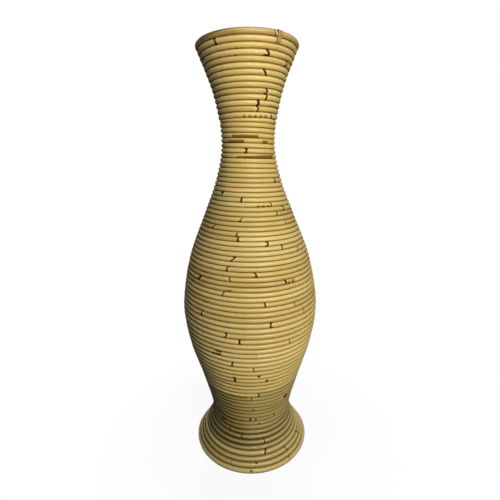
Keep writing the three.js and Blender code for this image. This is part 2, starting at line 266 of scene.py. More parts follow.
# Joints of the rings, and upper ends of the coil's canes, read in the same way. Three more numbers bend one,
# in mm to the left: both edges of the cane, the mark's upper foot and its lower foot
PHOTO_JOINTS = {
    "foot_ring": {
        1: (289.4, 458.8, 0.2, 0.5), 2: (231.3, 461.4, 0, 0.4), 3: (286.7, 449.8, -0.3, 0.7),
        4: (265.3, 452.5, 0.3, 1), 5: (284, 436.4, 0, 0.35), 6: (264.4, 441.8, 0, 0.6),
        7: (241.6, 437.3, 0.2, 0.7), 8: (230, 429.3, -0.2, 0.6),
    },
    "body_cane": {
        1: (285.5, 396, 0.9, 1), 2: (258.6, 395, 0, 0.9), 5: (232, 366, 0.4, 0.8), 6: (256.2, 359, 0, 0.3),
        7: (239.4, 343, 0, 1), 9: (201.6, 314, 0, 1.2), 10: (265.4, 306.8, 0, 0.9),
        11: (222.6, 295.6, 0.4, 0.7), 12: (199, 279.8, 0.8, 1.6), 13: (227, 268, 0.1, 0.9),
        14: (298.4, 249.6, 0.1, 0.9, 1.5, 0, 2),
        15: (237.9, 239, 0.4, 1), 16: (285.3, 220.5, 0, 0.5), 17: (271, 202, -0.4, 0.7, 1.5, 0, 2),
        18: (275, 178.7, -0.3, 1.2, 1.5, 1, 3), 19: (246.5, 151, 0.1, 1),
    },
    "mouth_ring": {
        1: (271.4, 116, -0.4, 0.9, 1, 1, 0), 2: (258.2, 108.7, -0.15, 0.9, 2, 2, 1),
        3: (258.6, 102.6, 0.1, 1.3, 1, -1, 3), 4: (266.6, 97.3, 0.15, 1.1, 0.5, 0, 1),
        5: (267.3, 90.7, 0.1, 1.1, 2, 0, 5), 8: (265.4, 72, -0.7, 1.2, 0, 2, -1),
        10: (286.9, 64, 0.1, 1.3, 2.2, 0, 4), 11: (268.9, 52.5, -0.3, 1.3, 2.5, 2, 7),
        13: (214.9, 41, -0.2, 1.1),
    },
}
# Small dark knots: pixel across, pixel down, strength
PHOTO_SPOTS = (
    (235.9, 48.6, 0.6), (235.5, 55.2, 0.6), (306.7, 316.5, 0.8), (259.2, 376, 1.3), (234.6, 378, 1.5),
    (235, 380, 1.5), (266.7, 381, 1.4), (285.8, 395.2, 1.2), (284.2, 396.6, 1.2), (253.5, 410, 0.7),
    (219.4, 413.4, 0.8), (221.2, 415.7, 1.2), (222.8, 417.4, 1.3), (224.6, 418.6, 1.3), (255.7, 419.5, 0.7),
    (256.3, 463, 0.8), (251.2, 472, 0.7), (228, 290.6, 0.5), (230.5, 290.6, 0.5), (202.5, 332, 0.7),
)
# Stretches of dark skin, with painted shade on the lip's left end and a painted shadow line under the turn
# that stands proud above the ankle:
# pixels across from and to, pixel down, upper (1) or lower (-1) edge of the cane, share of the seen face that
# is dark at the right and the left end, strength (2 is a black slit), how broken
PHOTO_STAINS_AND_SHADOWS = (
    (197, 241, 33, 1, -0.2, 0.85, 0.9, 0),
    (242, 270, 115.3, -1, 0.4, 0.4, 0.9, 1), (231.3, 258, 137.2, -1, 0.62, 0.62, 1, 0),
    (226.7, 242.8, 142.2, -1, 0.62, 0.62, 1, 0), (263, 268, 142.9, -1, 0.62, 0.62, 1.1, 0),
    (239.7, 274.5, 156.4, -1, 0.85, 0.35, 1.1, 0), (257, 272, 203.6, -1, 0.32, 0.32, 1.6, 0.3),
    (287, 296, 280.4, -1, 0.8, 0.5, 1.1, 0.4), (214.5, 221, 351.4, 1, 0.34, 0.3, 1.9, 0),
    (212, 220.4, 350, -1, 0.4, 0.3, 2, 0), (213, 241, 396.4, 1, 0.4, 0.4, 1.3, 0),
    (214, 222, 415, 1, 0.4, 0.4, 1.2, 0),
)
# Stretches of cane of another tone, and of painted shade at the lip's left end, along the belly's left edge
# and on the ankle's left, and of painted light on the ankle's right and on the lowest ring, lit from the
# floor: pixels across from and to, pixel down, change
PHOTO_TONES_AND_SHADING = (
    (194, 228, 34.5, -1.8), (220, 237, 32, -1.2), (258, 279, 32, -1.2), (213, 277, 222.5, -1.2),
    (228, 262, 284, -1.3), (264, 297, 283, -1.1), (212, 236, 40.5, -1), (262, 286, 45, -0.8),
    (225, 252, 62, -0.7), (186, 208, 274, -1.6), (185, 201, 278.5, -2), (186, 204, 295, -2.4),
    (187, 202, 304, -1.6), (186, 204, 318, -1.8), (206, 262, 451, 1.5), (266, 294, 440, -1.2),
    (208, 240, 458, -1.2), (214, 246, 443, -1), (206, 262, 384, -1.4), (207, 262, 389, -1.4),
    (208, 262, 394, -1.4), (210, 262, 399, -1), (264, 300, 386, 0.8), (264, 300, 391, 0.8),
    (264, 298, 396, 0.8), (256, 304, 468, 1),
)

rng = np.random.default_rng(SEED)


# Line that the cane's centre follows up the wall, in (radius, height)
def wall_line():
    points = [(FOOT_DIAMETER / 2 - LOWER_RADIUS, LOWER_RADIUS - GROUND_CUT)]
    zones = ((LOWER_STATIONS, LOWER_RADIUS), (UPPER_STATIONS, UPPER_RADIUS), (MOUTH_STATIONS, MOUTH_RADIUS))
    for stations, cane_radius in zones:
        points += [(across * MM / 2 - cane_radius, share * HEIGHT) for share, across in stations]
    points += [(LIP_DIAMETER / 2 - MOUTH_RADIUS, HEIGHT - MOUTH_RADIUS)]
    points = np.array([points[0], *points, points[-1]])
    share = np.linspace(0, 1, SPLINE_STEPS, endpoint=False)[:, None]
    spans = []
    for before, start, end, after in zip(points, points[1:], points[2:], points[3:]):
        leave = (end - before) / 2
        arrive = (after - start) / 2
        square = 3 * (end - start) - 2 * leave - arrive
        cube = 2 * (start - end) + leave + arrive
        spans.append(start + leave * share + square * share**2 + cube * share**3)
    return np.vstack([*spans, points[-1:]])


def side_by_side(*values):
    return np.stack(np.broadcast_arrays(*values), axis=-1)


def run_along(points):
    return np.concatenate([[0], np.cumsum(np.linalg.norm(np.diff(points, axis=0), axis=1))])


WALL = wall_line()
WALL_AT = run_along(WALL)
WALL_RUN = WALL_AT[-1]
WALL_ALONG = np.gradient(WALL, WALL_AT, axis=0)


# Direction of the wall line at a distance along it, in (radius, height)
def wall_slope(distance):
    return [np.interp(distance, WALL_AT, WALL_ALONG[:, part]) for part in (0, 1)]


# Radius and height at a distance along the wall line, moved outwards square to it
def wall_point(distance, outwards):
    near = np.clip(distance, 0, WALL_RUN)
    along_radius, along_height = wall_slope(near)
    radius = np.interp(near, WALL_AT, WALL[:, 0]) + along_radius * (distance - near)
    height = np.interp(near, WALL_AT, WALL[:, 1]) + along_height * (distance - near)
    return radius + along_height * outwards, height - along_radius * outwards


# Points of the wall's plane, turned by a number of steps to the left of the front
def turned(radius, height, step):
    angle = -step * STEP_ANGLE
    return side_by_side(radius * np.sin(angle), -radius * np.cos(angle), height)


def ring_band(middle, radius):
    def band(step):
        level = np.zeros_like(step)
        return level + middle - radius, level + middle + radius, level + radius
    return band


ANKLE_MIDDLE = (FOOT_RINGS - 1) * LOWER_PITCH
MOUTH_MIDDLE = WALL_RUN - (MOUTH_RINGS - 1) * MOUTH_PITCH
COIL_BOTTOM = ANKLE_MIDDLE + LOWER_PITCH / 2
COIL_TOP = MOUTH_MIDDLE - MOUTH_PITCH / 2


# Distance along the wall of the groove above the coil after a number of turns
def groove_after(turns):
    lower = np.minimum(turns, LOWER_COIL_TURNS)
    thinning = np.clip(turns - LOWER_COIL_TURNS, 0, THINNING_TURNS)
    upper = np.maximum(turns - LOWER_COIL_TURNS - THINNING_TURNS, 0)
    thinned = (LOWER_PITCH - UPPER_PITCH) * thinning**2 / (2 * THINNING_TURNS)
    return COIL_BOTTOM + (lower + thinning) * LOWER_PITCH - thinned + upper * UPPER_PITCH


def coil_band(step):
    turns = (step + COIL_START_STEP) / TURN_STEPS
    below = groove_after(turns - 1)
    above = groove_after(turns)
    low = np.maximum(below, COIL_BOTTOM) + TURN_GAP / 2
    high = np.minimum(above, COIL_TOP) - TURN_GAP / 2
    return low, high, (above - below - TURN_GAP) / 2


def band_run(band, steps):
    low, high, _ = band(steps)
    return run_along(turned(*wall_point((low + high) / 2, 0), steps))


# First and last step of the coil between its thin tips, and the steps in whose middle its canes meet
def coil_ends_and_joints():
    steps = np.arange(-COIL_START_STEP, 2 * TURN_STEPS * WALL_RUN / UPPER_PITCH)
    low, high, _ = coil_band(steps)
    steps = steps[high - low >= TIP_THICKNESS]
    run = band_run(coil_band, steps)
    shares = run[-1] / BODY_CANES * np.arange(1, BODY_CANES)
    joints = np.searchsorted(run, shares, side="right") - 1 + BODY_JOINT_SHIFTS
    return steps[0], steps[-1], steps[0] + joints


# One node's cane: the band of wall that it fills, where it begins and ends, and the marks on it
class Cane:
    def __init__(self, name, band, start, end):
        self.name = name
        self.band = band
        self.first, start_mark = start
        self.last, end_mark = end
        count = round((self.last - self.first + 2) * PATH_POINTS_PER_STEP)
        self.steps = np.linspace(self.first - 1, self.last + 1, count + 1)
        self.at = band_run(band, self.steps)
        self.start = self.place_at(self.first) + (END_GAP / 2 if start_mark else 0)
        self.end = self.place_at(self.last) - (END_GAP / 2 if end_mark else 0)
        self.ends = [(at, mark) for at, mark in ((self.start, start_mark), (self.end, end_mark)) if mark]
        self.ages_and_shadows = (0, 0, 0)
        self.scars = []
        self.spots = []
        self.stains_and_shadows = []
        # stretches of another tone, and of painted shade and painted light
        self.tones = []

    def place_at(self, step):
        return np.interp(step, self.steps, self.at)

    def step_at(self, place):
        return np.interp(place, self.at, self.steps)


# Outside of the wall and distances from the camera, to find a pixel of the photograph on it
OUTSIDE_AT = np.linspace(0, WALL_RUN, OUTSIDE_STEPS)
OUTSIDE_RADIUS, OUTSIDE_HEIGHT = wall_point(OUTSIDE_AT, (LOWER_RADIUS + UPPER_RADIUS) / 2)
SIGHT_LINE = np.linspace(*SIGHT_RANGE, SIGHT_STEPS)


# Distance along the wall, and angle to the right of the front, of a pixel of the photograph
def wall_place(across, down):
    middle = IMAGE_SIZE / 2
    sight = Vector(((across - middle) / FOCAL_PIXELS, (middle - down) / FOCAL_PIXELS, -1))
    points = np.array(CAMERA_PLACE) + SIGHT_LINE[:, None] * np.array(CAMERA_TURN @ sight)
    radius = np.hypot(points[:, 0], points[:, 1])
    inside = radius <= np.interp(points[:, 2], OUTSIDE_HEIGHT, OUTSIDE_RADIUS)
    hit = points[np.argmax(inside)] if inside.any() else points[np.argmin(radius)]
    return np.interp(hit[2], OUTSIDE_HEIGHT, OUTSIDE_AT), math.atan2(hit[0], -hit[1])


# A dark mark across a cane: lean and curl are how far it runs along from the middle to the upper groove, bow
# how far along both its edges lie, and feet how far it spreads along the upper and the lower groove
def new_mark(lean, strength):
    return {
        "lean": lean,
        "bow": 0,
        "curl": rng.uniform(-MARK_CURL, MARK_CURL),
        "strength": strength,
        "widening": rng.uniform(-MARK_UNEVENNESS, MARK_UNEVENNESS),
        "pale_side": rng.choice((-1, 1)),
        "feet": strength * rng.uniform(-MARK_FOOT, MARK_FOOT, 2),
    }


# Step and mark of a joint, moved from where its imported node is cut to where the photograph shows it
def joint_near(family, number, step):
    if number not in PHOTO_JOINTS[family]:
        return step, new_mark(SCARF_REACH / 2, rng.uniform(*HIDDEN_JOINT_STRENGTH))
    across, down, lean, strength, *bend = PHOTO_JOINTS[family][number]
    seen = -wall_place(across, down)[1] / STEP_ANGLE
    mark = new_mark(-lean * LOWER_RADIUS, strength)
    if bend:
        mark["bow"], *mark["feet"] = np.array(bend) * MM
    return seen + TURN_STEPS * round((step - seen) / TURN_STEPS), mark


def ring_cane(family, number, middle, radius, joint_step):
    step, mark = joint_near(family, number, -joint_step - 0.5)
    band = ring_band(middle, radius)
    return Cane(f"{family}_{number:02d}", band, (step, mark), (step + TURN_STEPS, mark))


def coil_canes():
    first, last, joints = coil_ends_and_joints()
    cuts = [(first, None)]
    cuts += [joint_near("body_cane", order + 1, joint + 0.5) for order, joint in enumerate(joints)]
    cuts += [(last, None)]
    names = [f"body_cane_{order + 1:02d}" for order in range(BODY_CANES)]
    return [Cane(name, coil_band, start, end) for name, start, end in zip(names, cuts, cuts[1:])]


def all_canes():
    canes = []
    for order, joint_step in enumerate(FOOT_JOINT_STEPS):
        canes.append(ring_cane("foot_ring", order + 1, order * LOWER_PITCH, LOWER_RADIUS, joint_step))
    canes += coil_canes()
    for order, joint_step in enumerate(reversed(MOUTH_JOINT_STEPS)):
        middle = MOUTH_MIDDLE + order * MOUTH_PITCH
        canes.append(ring_cane("mouth_ring", order + 1, middle, MOUTH_RADIUS, joint_step))
    return canes


CANES = all_canes()


# The cane at a distance along the wall and an angle, and the place along it
def cane_at(distance, angle):
    best = (math.inf, None, None)
    for cane in CANES:
        turn = math.ceil((cane.first * STEP_ANGLE + angle) / TURN)
        step = -angle / STEP_ANGLE + turn * TURN_STEPS
        while step < cane.last:
            low, high, _ = cane.band(np.array(step))
            off = abs(distance - (low + high) / 2)
            if off < best[0]:
                best = (off, cane, step)
            step += TURN_STEPS
    _, cane, step = best
    return cane, cane.place_at(step)


# How far up round the cane, from square to the wall, its side that faces the camera lies
def view_tilt(distance):
    radius, height = wall_point(distance, 0)
    along_radius, along_height = wall_slope(distance)
    away = -CAMERA_PLACE.y - radius
    above = CAMERA_PLACE.z - height
    return np.arctan2(away * along_radius + above * along_height, away * along_height - above * along_radius)


# How far above a cane's middle the middle of its seen face lies, on the outside of the wall
def seen_above(distance):
    tilt = view_tilt(distance)
    hidden = np.cos(tilt) + np.abs(np.sin(tilt)) - 1
    return np.sign(tilt) * (LOWER_RADIUS + UPPER_RADIUS) / 2 * hidden / np.cos(tilt)


# The cane that shows at a pixel, the place along it, and how far up its seen face from -1 to 1
def seen_cane(across, down):
    distance, angle = wall_place(across, down)
    distance -= seen_above(distance)
    cane, place = cane_at(distance, angle)
    low, high, _ = cane.band(cane.step_at(place))
    return cane, place, (2 * distance - low - high) / (high - low)


# The cane on which a stretch between two pixels of one row lies, and its ends along it, right end first
def stretch_at(across_from, across_to, down):
    cane, place, _ = seen_cane((across_from + across_to) / 2, down)
    distance, from_angle = wall_place(across_from, down)
    _, to_angle = wall_place(across_to, down)
    reach = abs(to_angle - from_angle) / 2 * wall_point(distance, 0)[0]
    return cane, place - reach, place + reach


def add_photo_marks():
    for across, down, lean, strength in PHOTO_SCARS:
        cane, place, _ = seen_cane(across, down)
        cane.scars.append((place, new_mark(-lean * LOWER_RADIUS, strength)))
    for across, down, strength in PHOTO_SPOTS:
        cane, place, level = seen_cane(across, down)
        cane.spots.append((place, level, strength))
    for across_from, across_to, down, *look in PHOTO_STAINS_AND_SHADOWS:
        cane, start, end = stretch_at(across_from, across_to, down)
        cane.stains_and_shadows.append((start, end, *look))
    # stretches of another tone, and of painted shade and painted light
    for *stretch, change in PHOTO_TONES_AND_SHADING:
        cane, start, end = stretch_at(*stretch)
        cane.tones.append((start, end, change))


# Marks on the sides and back
def add_other_marks():
    for cane in CANES:
        place = cane.start + rng.uniform(*OTHER_SPACING) / 2
        while place < cane.end - OTHER_END_MARGIN:
            angle = (-cane.step_at(place) * STEP_ANGLE + math.pi) % TURN - math.pi
            if abs(angle) > FRONT_ANGLE:
                lean = rng.normal(0, OTHER_LEAN) * LOWER_RADIUS
                cane.scars.append((place, new_mark(lean, rng.uniform(*OTHER_STRENGTH))))
                if rng.random() < OTHER_STAIN_CHANCE:
                    reach = rng.uniform(*OTHER_STAIN_REACH)
                    side = rng.choice((-1, 1))
                    shares = rng.uniform(*OTHER_STAIN_SHARE, 2)
                    strength = rng.uniform(*OTHER_STAIN_STRENGTH)
                    dashes = rng.uniform(*OTHER_STAIN_DASHES)
                    cane.stains_and_shadows.append((place, place + reach, side, *shares, strength, dashes))
            place += rng.uniform(*OTHER_SPACING)


add_photo_marks()
add_other_marks()
for cane in CANES:
    cane.scars.sort(key=lambda scar: scar[0])
for cane, ages_and_shadows in zip(CANES, AGED_AND_SHADOWED_CANES):
    cane.ages_and_shadows = ages_and_shadows


# Smooth random line along a cane, between about -1 and 1
def waves(places, lengths):
    total = np.zeros_like(places)
    for length in lengths:
        total += np.sin(places * TURN / length + rng.uniform(0, TURN))
    return total / len(lengths)


def bell(distance, width):
    return np.exp(-((distance / width) ** 2))


# Value at a level of the wall, from a table of mm along it and values
def drift(table, level):
    places, values = np.transpose(table)
    return np.interp(level, places * MM, values)


def even_angles(count):
    return np.arange(count) * TURN / count


AROUND = even_angles(SECTION_POINTS)
ACROSS = np.sin(AROUND)


# Places along a cane where its mesh has a ring of points
def ring_places(cane):
    count = math.ceil((cane.end - cane.start) / PATH_SPACING)
    places = [np.linspace(cane.start, cane.end, count + 1), cane.start + END_REFINE, cane.end - END_REFINE]
    for place, *_ in cane.scars + cane.spots:
        places += [place + SCAR_REFINE, place - SCAR_REFINE]
    for start, end, *_ in cane.stains_and_shadows:
        places += [np.arange(start, end, STAIN_SPACING), np.array([start - STAIN_BORDER, end + STAIN_BORDER])]
    places = np.sort(np.clip(np.concatenate(places), cane.start, cane.end))
    kept = [places[0]]
    for place in places[1:]:
        if place - kept[-1] > LEAST_SPACING:
            kept.append(place)
    kept[-1] = cane.end
    return np.array(kept)


# How far up the seen face points lie, from -1 to 1, which of them are on it, and how foreshortened it is
def seen_face(level):
    tilt = view_tilt(level)
    seen = (np.sin(AROUND - tilt) + np.sign(tilt) * (1 - np.cos(tilt))) / np.cos(tilt)
    return seen, np.cos(AROUND - tilt) > FACING_FROM, np.cos(tilt)


# How dark a mark makes the cane: a line across it that spreads into feet along the grooves
def mark_darkness(mark, off, seen):
    width = (MARK_WIDTH + MARK_WIDENING * mark["strength"]) * (1 + mark["widening"] * ACROSS)
    darkness = bell(off, width)
    for side, foot in zip((1, -1), mark["feet"]):
        near = np.clip((side * seen - FOOT_FROM) / FOOT_FADE, 0, 1)
        darkness = np.maximum(darkness, near * bell(off - foot / 2, abs(foot) / 2 + MARK_WIDTH))
    return mark["strength"] * darkness


# How far marks bend the mesh along the cane, how dark they make it, and how pale the skin beside them
def mark_effects(places, marks, seen):
    slid = np.zeros_like(seen)
    scar = np.zeros_like(seen)
    pale = np.zeros_like(places)
    for place, mark in marks:
        off = places - place
        weight = np.clip(1 - np.abs(off) / LEAN_REACH, 0, 1)
        weight = weight**2 * (3 - 2 * weight)
        bend = mark["lean"] * ACROSS + mark["bow"] * ACROSS**2 + mark["curl"] * np.sin(math.pi * ACROSS)
        slid += weight * bend
        scar = np.maximum(scar, mark_darkness(mark, off, seen))
        scraped = bell(off - mark["pale_side"] * SCRAPED_OFFSET, SCRAPED_REACH)
        pale = np.maximum(pale, SCRAPED_SHARE * scraped)
    return slid, scar, pale


# Share of a cane's thickness that its rounded ends and its scars' swellings and dents leave
def relief_along(cane, places):
    relief = np.ones_like(places)
    for place, mark in cane.ends:
        inward = np.abs(places - place)
        rounded = np.sqrt(1 - np.clip(1 - inward / END_ROUNDING, 0, 1) ** 2)
        relief *= 1 - (1 - END_FACE_SHARE) * mark["strength"] * (1 - rounded)
    for place, mark in cane.scars:
        relief += SCAR_SWELL * bell(places - place, SCAR_SWELL_REACH)
        relief -= SCAR_DENT * mark["strength"] * bell(places - place, SCAR_DENT_REACH)
    return relief


def spot_darkness(cane, places, seen, seen_radius):
    dark = np.zeros_like(seen)
    for place, height, strength in cane.spots:
        off = np.hypot(places - place, (seen - height) * seen_radius)
        dark = np.maximum(dark, strength * bell(off, SPOT_SIZE))
    return dark


def stain_and_shadow_darkness(cane, places, seen):
    dark = np.zeros_like(seen)
    for start, end, side, right_share, left_share, strength, broken in cane.stains_and_shadows:
        within = (places >= start) & (places <= end)
        wave = np.sin((places - start) * TURN / STAIN_DASH)
        dashes = np.clip(1 - broken * (0.5 + DASH_CONTRAST * wave), 0, 1)
        share = np.interp(places, (start, end), (right_share, left_share))
        edge = np.clip(0.5 + (side * seen - 1 + 2 * share) * STAIN_EDGE, 0, 1)
        dark = np.maximum(dark, strength * within * dashes * edge)
    return dark


# Tone and hue of the lengths of cane from scar to scar, and their drift up the wall, with listed stretches of
# other tone and of painted shade and painted light
def tone_shading_and_hue(cane, places, level, distance):
    count = len(cane.scars) + 1
    tones = rng.normal(0, CANE_TONE) + rng.normal(0, LENGTH_TONE, count)
    hues = rng.normal(0, CANE_HUE) + rng.normal(0, LENGTH_HUE, count)
    length = np.searchsorted([place for place, _ in cane.scars], places)
    tone = tones[length] + drift(TONE_DRIFT, level)
    # listed stretches of other tone, painted shade and painted light
    for start, end, change in cane.tones:
        tone += change * np.clip(np.minimum(places - start, end - places) / TONE_FADE + 0.5, 0, 1)
    return {"tone": tone, "hue": hues[length] + drift(OLIVE_DRIFT, distance)}


# Painted highlight along the side of a cane that faces up towards the lamps, and how mellow round it:
# yellower on the other sides as painted shade, paler on the highlight, and changing up the wall
def painted_light_and_mellow(level):
    rise = np.radians(drift(PAINTED_HIGHLIGHT_RISE, level)) + np.arctan2(*wall_slope(level))
    lit_side = bell((AROUND - rise + math.pi) % TURN - math.pi, PAINTED_HIGHLIGHT_WIDTH)
    mellow = drift(MELLOW_DRIFT, level) + SHADED_FLANK_MELLOW * (1 - lit_side) - PAINTED_HIGHLIGHT_PALENESS * lit_side
    return {"bleached": lit_side * drift(PAINTED_HIGHLIGHT_DRIFT, level), "mellow": mellow}


# Mesh points of a cane, a row round it at each place, and what its material needs to know there
def cane_points(cane):
    places = ring_places(cane)[:, None]
    low, high, _ = cane.band(cane.step_at(places))
    level = (low + high) / 2
    seen, facing, foreshortening = seen_face(level)
    slid, scar, pale = mark_effects(places, cane.ends + cane.scars, seen)
    step = cane.step_at(places + slid)
    low, high, radius = cane.band(step)
    half = (high - low) / 2
    swell = 1 + THICKNESS_CHANGE * waves(places, THICKNESS_WAVES)
    middle = (low + high) / 2 + WANDER * waves(places, WANDER_WAVES)
    lift = LIFT * waves(places, LIFT_WAVES)
    relief = relief_along(cane, places)
    depth = radius * (TIP_DEPTH + (1 - TIP_DEPTH) * np.clip(half / radius, 0, 1))
    distance = middle + (half + SNUG) * swell * ACROSS
    outwards = lift + (depth + SNUG) * (swell * relief) * np.cos(AROUND)
    points = turned(*wall_point(distance, outwards), step)
    points[..., 2] = np.maximum(points[..., 2], 0)
    spot = facing * spot_darkness(cane, places, seen, radius * foreshortening)
    stain = facing * stain_and_shadow_darkness(cane, places, seen)
    facts = {
        # stains stronger than 1 deepen into scars, the painted shadow line at the ankle among them
        "scar": np.maximum(np.maximum(scar, spot), stain - 1),
        "pale": pale,
        "stain": np.minimum(stain, 1),
        "age": AGED_AND_SHADOWED_SHARE * np.interp(np.sin(step * STEP_ANGLE), (-1, 0, 1), cane.ages_and_shadows),
        **tone_shading_and_hue(cane, places, level, distance),
        **painted_light_and_mellow(level),
    }
    facts = {name: np.broadcast_to(fact, seen.shape) for name, fact in facts.items()}
    grain_at = places + rng.uniform(0, GRAIN_REACH)
    lay = side_by_side(grain_at, LOWER_RADIUS * np.cos(AROUND), LOWER_RADIUS * ACROSS)
    return places[:, 0], points, lay, facts


# Unwrapped layout of a tube: its length in rows, and its end faces beside them
def tube_layout(places, sides, girth):
    length = places[-1] - places[0]
    rows = max(1, round(math.sqrt(length / girth)))
    row = np.minimum(((places[:-1] - places[0]) / (length / rows)).astype(int), rows - 1)
    begin = np.array([places[:-1][row == number][0] for number in range(rows)])
    span = np.diff(np.append(begin, places[-1]))[row]
    left, right = [LAYOUT_LEFT + LAYOUT_WIDTH * (at - begin[row]) / span for at in (places[:-1], places[1:])]
    side = np.arange(sides)
    share = ROW_MARGIN + (1 - 2 * ROW_MARGIN) * np.array((side, side + 1)) / sides
    bottom, top = (row[:, None] + share[:, None]) / rows
    corners = ((left, bottom), (left, top), (right, top), (right, bottom))
    corners = [side_by_side(across[:, None], up) for across, up in corners]
    angle = even_angles(sides)
    rim = CAP_RADIUS * side_by_side(np.cos(angle), np.sin(angle))
    caps = [(rim + START_CAP)[::-1], rim + END_CAP]
    return np.concatenate([np.stack(corners, axis=2).reshape(-1, 2), *caps])


def ring_faces(number):
    following = np.roll(number, -1, axis=1)
    quads = side_by_side(number[:-1], following[:-1], following[1:], number[1:])
    return quads.reshape(-1, 4).tolist()


def smooth_mesh(name, points, faces, flat_faces=()):
    mesh = bpy.data.meshes.new(name)
    mesh.from_pydata(points.reshape(-1, 3).tolist(), [], [*faces, *flat_faces])
    mesh.polygons.foreach_set("use_smooth", [True] * len(faces) + [False] * len(flat_faces))
    return mesh


def add_object(name, data):
    thing = bpy.data.objects.new(name, data)
    bpy.context.scene.collection.objects.link(thing)
    return thing


def tube_mesh(name, points, places, girth):
    rings, sides, _ = points.shape
    number = np.arange(rings * sides).reshape(rings, sides)
    caps = [number[0, ::-1].tolist(), number[-1].tolist()]
    mesh = smooth_mesh(name, points, ring_faces(number), caps)
    layer = mesh.uv_layers.new(name="OFBake")
    layer.data.foreach_set("uv", tube_layout(places, sides, girth).ravel())
    return mesh


def add_facts(mesh, lay, facts):
    layer = mesh.attributes.new("lay", "FLOAT_VECTOR", "POINT")
    layer.data.foreach_set("vector", lay.ravel())
    for name, values in facts.items():
        layer = mesh.attributes.new(name, "FLOAT", "POINT")
        layer.data.foreach_set("value", values.ravel())


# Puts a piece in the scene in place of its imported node
def add_piece(node, mesh):
    piece = add_object(f"{node}_piece", mesh)
    mesh.materials.append(MATERIALS[SLOT_OF[node]])
    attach(piece, "root")
    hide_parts(node)


# Colour as on a screen, 0 to 255, in the linear values that shaders use
def colour(red, green, blue):
    return (*Color((red / 255, green / 255, blue / 255)).from_srgb_to_scene_linear(), 1)


# Builds the nodes of one material or world
class Shader:
    def __init__(self, owner):
        owner.use_nodes = True
        self.owner = owner
        self.tree = owner.node_tree

    def put(self, socket, value):
        if isinstance(value, bpy.types.NodeSocket):
            self.tree.links.new(value, socket)
        else:
            socket.default_value = value

    def node(self, kind, inputs, **settings):
        node = self.tree.nodes.new(kind)
        for key, value in settings.items():
            setattr(node, key, value)
        for socket, value in inputs.items():
            self.put(node.inputs[socket], value)
        return node

    def fact(self, name, output="Fac"):
        return self.node("ShaderNodeAttribute", {}, attribute_name=name).outputs[output]

    def place(self):
        return self.node("ShaderNodeTexCoord", {}).outputs["Object"]

    def noise(self, vector, scale, detail=2, roughness=0.5):
        stretched = self.node("ShaderNodeVectorMath", {0: vector, 1: scale}, operation="MULTIPLY").outputs[0]
        inputs = {"Vector": stretched, "Scale": 1, "Detail": detail, "Roughness": roughness}
        return self.node("ShaderNodeTexNoise", inputs).outputs["Fac"]

    def math(self, operation, first, second=0, third=0, clamp=False):
        inputs = {0: first, 1: second, 2: third}
        return self.node("ShaderNodeMath", inputs, operation=operation, use_clamp=clamp).outputs[0]

    def between(self, value, low, high, to_low=0, to_high=1):
        inputs = {"Value": value, "From Min": low, "From Max": high, "To Min": to_low, "To Max": to_high}
        return self.node("ShaderNodeMapRange", inputs, interpolation_type="SMOOTHSTEP").outputs[0]

    def mix(self, share, first, second):
        return self.node("ShaderNodeMix", {0: share, 6: first, 7: second}, data_type="RGBA").outputs[2]

    # Mixes a tint into a colour, up to a share, as a value runs from low to high
    def tinted(self, base, value, low, high, share, tint):
        return self.mix(self.between(value, low, high, 0, share), base, colour(*tint))

    def ramp(self, share, stops):
        node = self.node("ShaderNodeValToRGB", {0: share})
        elements = node.color_ramp.elements
        while len(elements) < len(stops):
            elements.new(1)
        for element, (position, *tint) in zip(elements, stops):
            element.position = position
            element.color = colour(*tint)
        return node.outputs["Color"]

    def bump(self, height, strength, distance, **more):
        inputs = {"Height": height, "Strength": strength, "Distance": distance, **more}
        return self.node("ShaderNodeBump", inputs).outputs["Normal"]

    # 1 for what the camera sees, straight or by way of gloss and glass
    def seen(self):
        rays = self.node("ShaderNodeLightPath", {}).outputs
        straight_or_gloss = self.math("MAXIMUM", rays["Is Camera Ray"], rays["Is Glossy Ray"])
        return self.math("MAXIMUM", straight_or_gloss, rays["Is Transmission Ray"])

    # Shows one surface, or by a share another
    def show(self, output, share, first, second):
        blend = self.node("ShaderNodeMixShader", {0: share, 1: first.outputs[0], 2: second.outputs[0]})
        self.put(self.tree.nodes[output].inputs["Surface"], blend.outputs[0])

    def finish(self, **inputs):
        surface = self.tree.nodes["Principled BSDF"]
        for name, value in inputs.items():
            self.put(surface.inputs[name.replace("_", " ")], value)
        return self.owner


